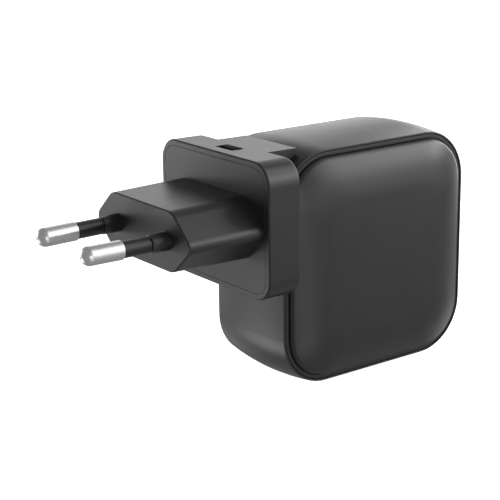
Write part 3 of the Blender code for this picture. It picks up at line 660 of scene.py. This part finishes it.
def make_plug_cover():
    """Inset face plate, hollow six-sided plug and collars."""
    edge, overlap = 0.26 * MM, 0.5 * MM
    loops = [along_x(plug_outline(inset, 0), PLUG_FACE + edge - inset) for inset in (edge, 0)]
    loops.append(along_x(plug_outline(0, 1), PLUG_DEPTH + overlap))
    cover = loft("plug_moulding", loops)
    inset, plate_edge = BLOCK_RIM + 0.03 * MM, 0.04 * MM
    join(cover, loft("plate", [
        along_x(block_outline(inset + plate_edge), PLUG_DEPTH),
        along_x(block_outline(inset), PLUG_DEPTH + plate_edge),
        along_x(block_outline(inset), COVER_BACK),
    ]))
    wall, past = 1.8 * MM, 1 * MM
    cut(cover, loft("hollow", [
        along_x(plug_outline(wall, 0, arc=4), wall),
        along_x(plug_outline(wall, 1, arc=4), COVER_BACK + past),
    ]))
    bore = SHANK_RADIUS + 0.25 * MM
    bore_top, bore_bottom = 7 * MM, -4 * MM
    round_off, waist, root = 0.12 * MM, 2.4 * MM, -0.3 * MM
    for side in (-1, 1):
        profile = [(0, COLLAR_LENGTH)]
        profile += [(COLLAR_RADIUS - i, COLLAR_LENGTH - d) for i, d in fillet(round_off, steps=3)]
        profile += [(COLLAR_RADIUS, waist), (COLLAR_FOOT, 0.0), (COLLAR_FOOT, root), (0, root)]
        join(cover, pin_place(turned("collar", profile, steps=40), side))
        hole = ((0, bore_top), (bore, bore_top), (bore, bore_bottom), (0, bore_bottom))
        cut(cover, pin_place(turned("hole", hole, steps=32), side))
    finish(cover, charcoal, "charcoal_plastic", "adapter", "plug_cover")


def make_pins():
    """Bright pins with a domed tip, and sleeves with a fine groove at their root."""
    for side, end in ((-1, "front"), (1, "rear")):
        finish(make_pin(side, f"pin_{end}_plated"), nickel, "nickel", "adapter", f"pin_{end}")
        sleeve = make_sleeve(side, f"pin_{end}_insulation")
        finish(sleeve, satin_black, "black_plastic", "adapter", f"pin_sleeve_{end}")


def make_pin(side, name):
    dome, dome_steps = 1.85 * MM, 14
    lip, soft = 0.1 * MM, 0.03 * MM
    shoulder = PIN_LENGTH - PIN_BARE
    flange_top, flange_bottom, tail = -2.1 * MM, -2.9 * MM, -5.3 * MM
    profile = []
    for k in range(dome_steps + 1):
        angle = pi / 2 * k / dome_steps
        profile.append((PIN_RADIUS * sin(angle), PIN_LENGTH - dome + dome * cos(angle)))
    profile += [
        (PIN_RADIUS, shoulder + lip), (PIN_RADIUS - soft, shoulder + soft), (PIN_RADIUS - lip, shoulder),
        (SHANK_RADIUS, shoulder), (SHANK_RADIUS, flange_top), (COLLAR_RADIUS, flange_top),
        (COLLAR_RADIUS, flange_bottom), (SHANK_RADIUS, flange_bottom), (SHANK_RADIUS, tail), (0, tail),
    ]
    return pin_place(turned(name, profile, steps=56), side)


def make_sleeve(side, name):
    soft, groove_depth, groove_width, groove_slope = 0.08 * MM, 0.16 * MM, 0.32 * MM, 0.12 * MM
    top = PIN_LENGTH - PIN_BARE - 0.04 * MM
    bottom = COLLAR_LENGTH + 0.1 * MM
    bore = SHANK_RADIUS + 0.05 * MM
    groove, groove_radius = bottom + groove_width, SLEEVE_RADIUS - groove_depth
    ring = (
        (bore, top), (SLEEVE_RADIUS - soft, top), (SLEEVE_RADIUS, top - soft),
        (SLEEVE_RADIUS, groove + groove_slope), (groove_radius, groove),
        (groove_radius, bottom), (bore, bottom),
    )
    return pin_place(turned(name, ring, closed=True), side)


# Latch.


def make_latch():
    """Ribbed button, flange, bolt and spring tab."""
    soft = 0.1 * MM
    body_back = 23.9 * MM
    top = block_high.z + 0.1 * MM
    body_top, pad_bottom, pad_top, pad_half = top - 0.7 * MM, 13.1 * MM, top - 0.75 * MM, 2.75 * MM
    slider = box(
        "latch_button", (BUTTON_FRONT, -BOLT_HALF, BOLT_BOTTOM), (body_back, BOLT_HALF, body_top),
        round_edges=soft,
    )
    join(slider, box(
        "pad", (BUTTON_FRONT, -pad_half, pad_bottom), (BUTTON_BACK, pad_half, pad_top),
        round_edges=0.08 * MM,
    ))
    join_ribs(slider, top)
    bolt_start, slope = body_back - 1 * MM, 0.4 * MM
    side_view = (
        (bolt_start, BOLT_BOTTOM), (slider_high.x, BOLT_BOTTOM), (slider_high.x, BOLT_TOP - slope),
        (slider_high.x - slope, BOLT_TOP), (bolt_start, BOLT_TOP),
    )
    bolt = loft("bolt", [along_y(side_view, y) for y in (-BOLT_HALF, BOLT_HALF)])
    bevel(bolt, width=0.08 * MM)
    join(slider, bolt)
    flange_low, flange_high = Vector((21.3, -3.9, 10.7)) * MM, Vector((24.1, 3.9, 11.7)) * MM
    join(slider, box("flange", flange_low, flange_high, round_edges=soft))
    tab_low, tab_high = Vector((23.2, -2, 6.6)) * MM, Vector((24.05, 2, 10)) * MM
    join(slider, box("tab", tab_low, tab_high, round_edges=soft))
    finish(slider, matte_black_painted_shade, "black_plastic", "latch", "latch_slider")
    make_spring()


def join_ribs(slider, top):
    """Ribs across the slide, each narrower at its top."""
    rib_count, rib_half = 3, 2.7 * MM
    pitch = (BUTTON_BACK - BUTTON_FRONT) / rib_count
    root = top - 0.9 * MM
    foot_end, crest_start, crest_end = pitch * 0.7, pitch * 0.2, pitch * 0.6
    for k in range(rib_count):
        low = BUTTON_FRONT + pitch * k
        tooth = ((low, root), (low + foot_end, root), (low + crest_end, top), (low + crest_start, top))
        rib = loft("rib", [along_y(tooth, y) for y in (-rib_half, rib_half)])
        bevel(rib, width=0.05 * MM)
        join(slider, rib)


def make_spring():
    """A compression spring with closed ends, built at the length of its CAD part."""
    low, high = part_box("latch_spring")
    wire = 0.17 * MM
    radius = (high.y - low.y) / 2 - wire
    height = (low.z + high.z) / 2
    turns, per_turn = 4.5, 24
    closing = 0.4
    count = int(turns * per_turn)
    curve = bpy.data.curves.new("latch_coil", "CURVE")
    curve.dimensions = "3D"
    curve.bevel_depth = wire
    curve.bevel_resolution = 4
    curve.use_fill_caps = True
    spline = curve.splines.new("POLY")
    spline.points.add(count)
    for k, point in enumerate(spline.points):
        t = k / count
        ease = t * t * (3 - 2 * t) * closing + t * (1 - closing)
        x = low.x + wire + (high.x - low.x - 2 * wire) * ease
        angle = 2 * pi * turns * t
        point.co = (x, radius * cos(angle), height + radius * sin(angle), 1.0)
    coil = link("latch_coil", curve)
    mesh = bpy.data.meshes.new_from_object(coil.evaluated_get(bpy.context.evaluated_depsgraph_get()))
    bpy.data.objects.remove(coil)
    spring = link("latch_coil_spring", mesh)
    finish(spring, steel, "spring_steel", "adapter", "latch_spring", sharp=60, weighted=False)
    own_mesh(spring)


# Dock.


def inlet_place(piece, side):
    """Turn a piece's own +Z to the body's +X, on one inlet contact's axis."""
    place = Matrix.Translation((0, side * CONTACT_PLACE.x, CONTACT_PLACE.y))
    piece.data.transform(place @ Matrix.Rotation(pi / 2, 4, "Y"))
    return piece


def make_dock():
    """The T-shaped rail, with soft edges and pockets for its two contacts."""
    rail_low, rail_high = (dock_low.x, dock_low.y, DOCK_BOTTOM), (SEAT_FRONT, dock_high.y, DOCK_TOP)
    dock = box("dock_rail", rail_low, rail_high, round_edges=0.25 * MM, segments=3)
    stem_front, stem_back, step = 24 * MM, 30.1 * MM, 0.1 * MM
    stem_low, stem_high = DOCK_BOTTOM + step, DOCK_TOP - step
    join(dock, box("stem", (stem_front, -STEM_HALF, stem_low), (stem_back, STEM_HALF, stem_high)))
    flange, flange_front = STEM_HALF + 1.2 * MM, 29.9 * MM
    join(dock, box(
        "flange", (flange_front, -flange, dock_low.z), (dock_high.x, flange, dock_high.z),
        round_edges=0.2 * MM,
    ))
    for side, end in ((-1, "front"), (1, "rear")):
        make_inlet_contact(dock, side, end)
    finish(dock, satin_black, "black_plastic", "charger_body", "dock_plate")


def make_inlet_contact(dock, side, end):
    """A brass pad with its tail, and the pocket and hole for them in the dock."""
    low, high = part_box(f"inlet_contact_{end}")
    gap, pad_depth = 0.25 * MM, 0.5 * MM
    pocket_front, pocket_depth = 22 * MM, 0.2 * MM
    pad_back = low.x + pad_depth
    cut(dock, box(
        "pocket", (pocket_front, low.y - gap, low.z - gap),
        (pad_back + pocket_depth, high.y + gap, high.z + gap),
    ))
    pad = box(f"inlet_pad_{end}", low, (pad_back, high.y, high.z), round_edges=0.1 * MM, segments=3)
    tail_radius, tail_start = 0.8 * MM, low.x + 0.2 * MM
    tail = ((0, high.x), (tail_radius, high.x), (tail_radius, tail_start), (0, tail_start))
    join(pad, inlet_place(turned("tail", tail, steps=24), side))
    bore, bore_start, bore_end = 1.05 * MM, 22 * MM, 32 * MM
    hole = ((0, bore_end), (bore, bore_end), (bore, bore_start), (0, bore_start))
    cut(dock, inlet_place(turned("hole", hole, steps=24), side))
    finish(pad, brass, "brass", "charger_body", f"inlet_contact_{end}")


# Materials: each is built from noise in the object's own space, so that it holds at any view.

# Nearly all of a noise texture's values lie between these two.
NOISE_LOW = 0.3
NOISE_HIGH = 0.7


def material_base(name, colour, roughness, metallic=0.0):
    material = bpy.data.materials.new(name)
    material.use_nodes = True
    shader = material.node_tree.nodes["Principled BSDF"]
    shader.inputs["Base Color"].default_value = (*colour, 1.0)
    shader.inputs["Roughness"].default_value = roughness
    shader.inputs["Metallic"].default_value = metallic
    return material, shader


def add_noise(material, scale, detail=3.0, stretch=(1, 1, 1)):
    nodes, links = material.node_tree.nodes, material.node_tree.links
    where = nodes.new("ShaderNodeTexCoord")
    mapping = nodes.new("ShaderNodeMapping")
    mapping.inputs["Scale"].default_value = stretch
    noise = nodes.new("ShaderNodeTexNoise")
    noise.inputs["Scale"].default_value = scale
    noise.inputs["Detail"].default_value = detail
    links.new(where.outputs["Object"], mapping.inputs["Vector"])
    links.new(mapping.outputs["Vector"], noise.inputs["Vector"])
    return noise


def vary_colour(material, shader, noise, dark, light):
    ramp = material.node_tree.nodes.new("ShaderNodeValToRGB")
    ramp.color_ramp.elements[0].position = NOISE_LOW
    ramp.color_ramp.elements[0].color = (*dark, 1.0)
    ramp.color_ramp.elements[1].position = NOISE_HIGH
    ramp.color_ramp.elements[1].color = (*light, 1.0)
    material.node_tree.links.new(noise.outputs["Fac"], ramp.inputs["Fac"])
    material.node_tree.links.new(ramp.outputs["Color"], shader.inputs["Base Color"])


def vary_roughness(material, shader, noise, low, high):
    spread = material.node_tree.nodes.new("ShaderNodeMapRange")
    spread.inputs["From Min"].default_value = NOISE_LOW
    spread.inputs["From Max"].default_value = NOISE_HIGH
    spread.inputs["To Min"].default_value = low
    spread.inputs["To Max"].default_value = high
    material.node_tree.links.new(noise.outputs["Fac"], spread.inputs["Value"])
    material.node_tree.links.new(spread.outputs["Result"], shader.inputs["Roughness"])


def add_bump(material, shader, noise, height):
    bump = material.node_tree.nodes.new("ShaderNodeBump")
    bump.inputs["Distance"].default_value = height
    material.node_tree.links.new(noise.outputs["Fac"], bump.inputs["Height"])
    material.node_tree.links.new(bump.outputs["Normal"], shader.inputs["Normal"])


def plastic(name, dark, light, roughness, grain, grain_height, specular=0.5):
    """Moulded plastic: fine spark-eroded grain, and a slow drift in tone and gloss."""
    drift_scale, gloss_drift = 220, 0.01
    material, shader = material_base(name, light, roughness)
    shader.inputs["Specular IOR Level"].default_value = specular
    drift = add_noise(material, drift_scale, detail=2)
    vary_colour(material, shader, drift, dark, light)
    vary_roughness(material, shader, drift, roughness - gloss_drift, roughness + gloss_drift)
    add_bump(material, shader, add_noise(material, grain, detail=2), grain_height)
    return material


def metal(name, dark, light, roughness, scale, stretch, height):
    """Metal with drawn or turned lines, which run across the directions that stretch makes finer."""
    smoothest, roughest = 0.8, 1.25
    material, shader = material_base(name, light, roughness, metallic=1.0)
    lines = add_noise(material, scale, stretch=stretch)
    vary_colour(material, shader, lines, dark, light)
    vary_roughness(material, shader, lines, roughness * smoothest, roughness * roughest)
    add_bump(material, shader, lines, height)
    return material


charcoal = plastic(
    "charcoal_moulded", dark=(0.0138, 0.0138, 0.0142), light=(0.0152, 0.0152, 0.0157),
    roughness=0.36, grain=5200, grain_height=0.004 * MM,
)
satin_black = plastic(
    "black_moulded", dark=(0.006, 0.006, 0.0063), light=(0.008, 0.008, 0.0084),
    roughness=0.36, grain=4200, grain_height=0.003 * MM,
)
# The latch's matte black plastic, made darker than the satin black as painted shade for the slot it sits in.
matte_black_painted_shade = plastic(
    "latch_black_painted_shade", dark=(0.0025, 0.0025, 0.0026), light=(0.003, 0.003, 0.0031),
    roughness=0.5, grain=3800, grain_height=0.005 * MM, specular=0.1,
)
port_white = plastic(
    "white_moulded", dark=(0.62, 0.61, 0.58), light=(0.7, 0.69, 0.66),
    roughness=0.45, grain=4200, grain_height=0.003 * MM,
)
nickel = metal(
    "bright_nickel", dark=(0.6, 0.6, 0.595), light=(0.66, 0.66, 0.655),
    roughness=0.34, scale=900, stretch=(14, 1, 1), height=0.0003 * MM,
)
port_steel = metal(
    "port_steel", dark=(0.46, 0.46, 0.47), light=(0.55, 0.55, 0.56),
    roughness=0.28, scale=900, stretch=(1, 6, 6), height=0.001 * MM,
)
steel = metal(
    "spring_wire", dark=(0.42, 0.42, 0.42), light=(0.52, 0.52, 0.51),
    roughness=0.25, scale=1500, stretch=(1, 1, 1), height=0.001 * MM,
)
brass = metal(
    "rolled_brass", dark=(0.62, 0.46, 0.2), light=(0.72, 0.55, 0.27),
    roughness=0.3, scale=1200, stretch=(1, 1, 12), height=0.002 * MM,
)
gold = metal(
    "contact_gold", dark=(0.78, 0.58, 0.26), light=(0.86, 0.66, 0.32),
    roughness=0.22, scale=2500, stretch=(1, 8, 8), height=0.0005 * MM,
)
copper = metal(
    "copper_sheet", dark=(0.62, 0.3, 0.17), light=(0.74, 0.38, 0.22),
    roughness=0.35, scale=1200, stretch=(1, 1, 10), height=0.002 * MM,
)
aluminium = metal(
    "drawn_can", dark=(0.68, 0.68, 0.69), light=(0.8, 0.8, 0.81),
    roughness=0.35, scale=1400, stretch=(1, 1, 10), height=0.002 * MM,
)
circuit = plastic(
    "solder_mask", dark=(0.012, 0.09, 0.045), light=(0.03, 0.17, 0.09),
    roughness=0.4, grain=2500, grain_height=0.01 * MM,
)
ferrite = plastic(
    "ground_ferrite", dark=(0.05, 0.05, 0.052), light=(0.1, 0.1, 0.105),
    roughness=0.75, grain=3000, grain_height=0.02 * MM,
)
film = plastic(
    "polyester_tape", dark=(0.62, 0.42, 0.05), light=(0.8, 0.6, 0.12),
    roughness=0.35, grain=1500, grain_height=0.006 * MM,
)
ceramic = plastic(
    "coated_ceramic", dark=(0.12, 0.24, 0.48), light=(0.2, 0.35, 0.6),
    roughness=0.4, grain=1800, grain_height=0.01 * MM,
)
insulation = plastic(
    "insulating_film", dark=(0.75, 0.75, 0.7), light=(0.86, 0.86, 0.82),
    roughness=0.4, grain=1200, grain_height=0.008 * MM,
)

# The pieces that keep their CAD shapes, by their finish.
INSIDE = {
    satin_black: ("inlet_wire_front", "inlet_wire_rear", "bridge_rectifier", "controller_chip",
                  "power_switch", "transformer_bobbin"),
    brass: ("contact_strip_front", "contact_strip_rear"),
    aluminium: ("bulk_capacitor_1", "bulk_capacitor_2", "output_capacitor_1", "output_capacitor_2",
                "output_capacitor_3"),
    copper: ("front_heat_plate", "rear_heat_plate", "common_mode_choke"),
    circuit: ("main_board", "usb_board"),
    ferrite: ("transformer_core_front", "transformer_core_rear", "output_inductor"),
    film: ("transformer_winding", "x_capacitor"),
    ceramic: ("fuse", "y_capacitor"),
    insulation: ("insulation_sheet",),
}


def paint_inside():
    """Give each piece inside its own finish."""
    for material, names in INSIDE.items():
        for name in names:
            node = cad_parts[name]
            node.data.materials.clear()
            node.data.materials.append(material)


# Stage: pale floor, studio light and camera.


def make_floor():
    """Pale and evenly lit; it neither shades the charger nor shows in its plastic."""
    dark, light = (0.885, 0.885, 0.885), (0.9, 0.9, 0.9)
    builder = bmesh.new()
    bmesh.ops.create_grid(builder, x_segments=4, y_segments=4, size=FLOOR_SIZE)
    floor = piece_from("floor", builder)
    floor.location = (*FLOOR_MIDDLE, cad_bounds[0][2])
    material, shader = material_base("pale_floor", light, roughness=0.8)
    vary_colour(material, shader, add_noise(material, scale=6, detail=2), dark, light)
    shader.inputs["Emission Color"].default_value = (1, 1, 1, 1)
    shader.inputs["Emission Strength"].default_value = FLOOR_GLOW
    material.cycles.emission_sampling = "NONE"
    floor.data.materials.append(material)
    floor.visible_glossy = False
    floor.visible_diffuse = False
    floor.visible_shadow = False


def make_world():
    """White to the eye, and a dim even fill for everything else."""
    world = bpy.data.worlds.new("studio")
    bpy.context.scene.world = world
    world.use_nodes = True
    nodes, links = world.node_tree.nodes, world.node_tree.links
    background = nodes["Background"]
    background.inputs["Color"].default_value = (1, 1, 1, 1)
    path = nodes.new("ShaderNodeLightPath")
    level = nodes.new("ShaderNodeMapRange")
    level.inputs["To Min"].default_value = WORLD_FILL
    level.inputs["To Max"].default_value = 1.0
    links.new(path.outputs["Is Camera Ray"], level.inputs["Value"])
    links.new(level.outputs["Result"], background.inputs["Strength"])


def make_lights():
    """Round softboxes about the charger, each at its own height and power."""
    for name, turn, height, power in SOFTBOXES:
        turn, height = radians(turn), radians(height)
        away = Vector((cos(turn) * cos(height), sin(turn) * cos(height), sin(height)))
        data = bpy.data.lights.new(name, "AREA")
        data.shape = "DISK"
        data.size = SOFTBOX_DIAMETER
        data.energy = power
        light = link(name, data)
        light.location = Vector(LIGHT_CENTRE) + away * LIGHT_DISTANCE
        light.rotation_euler = away.to_track_quat("Z", "Y").to_euler()
        light.visible_camera = False


def make_camera():
    data = bpy.data.cameras.new("camera")
    data.lens = LENS
    data.sensor_width = SENSOR_WIDTH
    camera = link("camera", data)
    axes = (Vector(CAMERA_RIGHT), Vector(CAMERA_UP), -Vector(CAMERA_AHEAD))
    turn = Matrix(axes).transposed()
    camera.matrix_world = Matrix.Translation(CAMERA_PLACE) @ turn.to_4x4()
    bpy.context.scene.camera = camera


make_camera()
make_mid_shell()
for side, end in ((-1, "front"), (1, "rear")):
    make_rim(side, end)
    make_panel(side, end)
for shell_name, tongue_name in PORTS:
    make_port(shell_name, tongue_name)
make_adapter_shell()
make_back_plate()
make_plug_cover()
make_pins()
make_latch()
make_dock()
paint_inside()
make_floor()
make_world()
make_lights()
bpy.context.scene.view_settings.view_transform = "Standard"
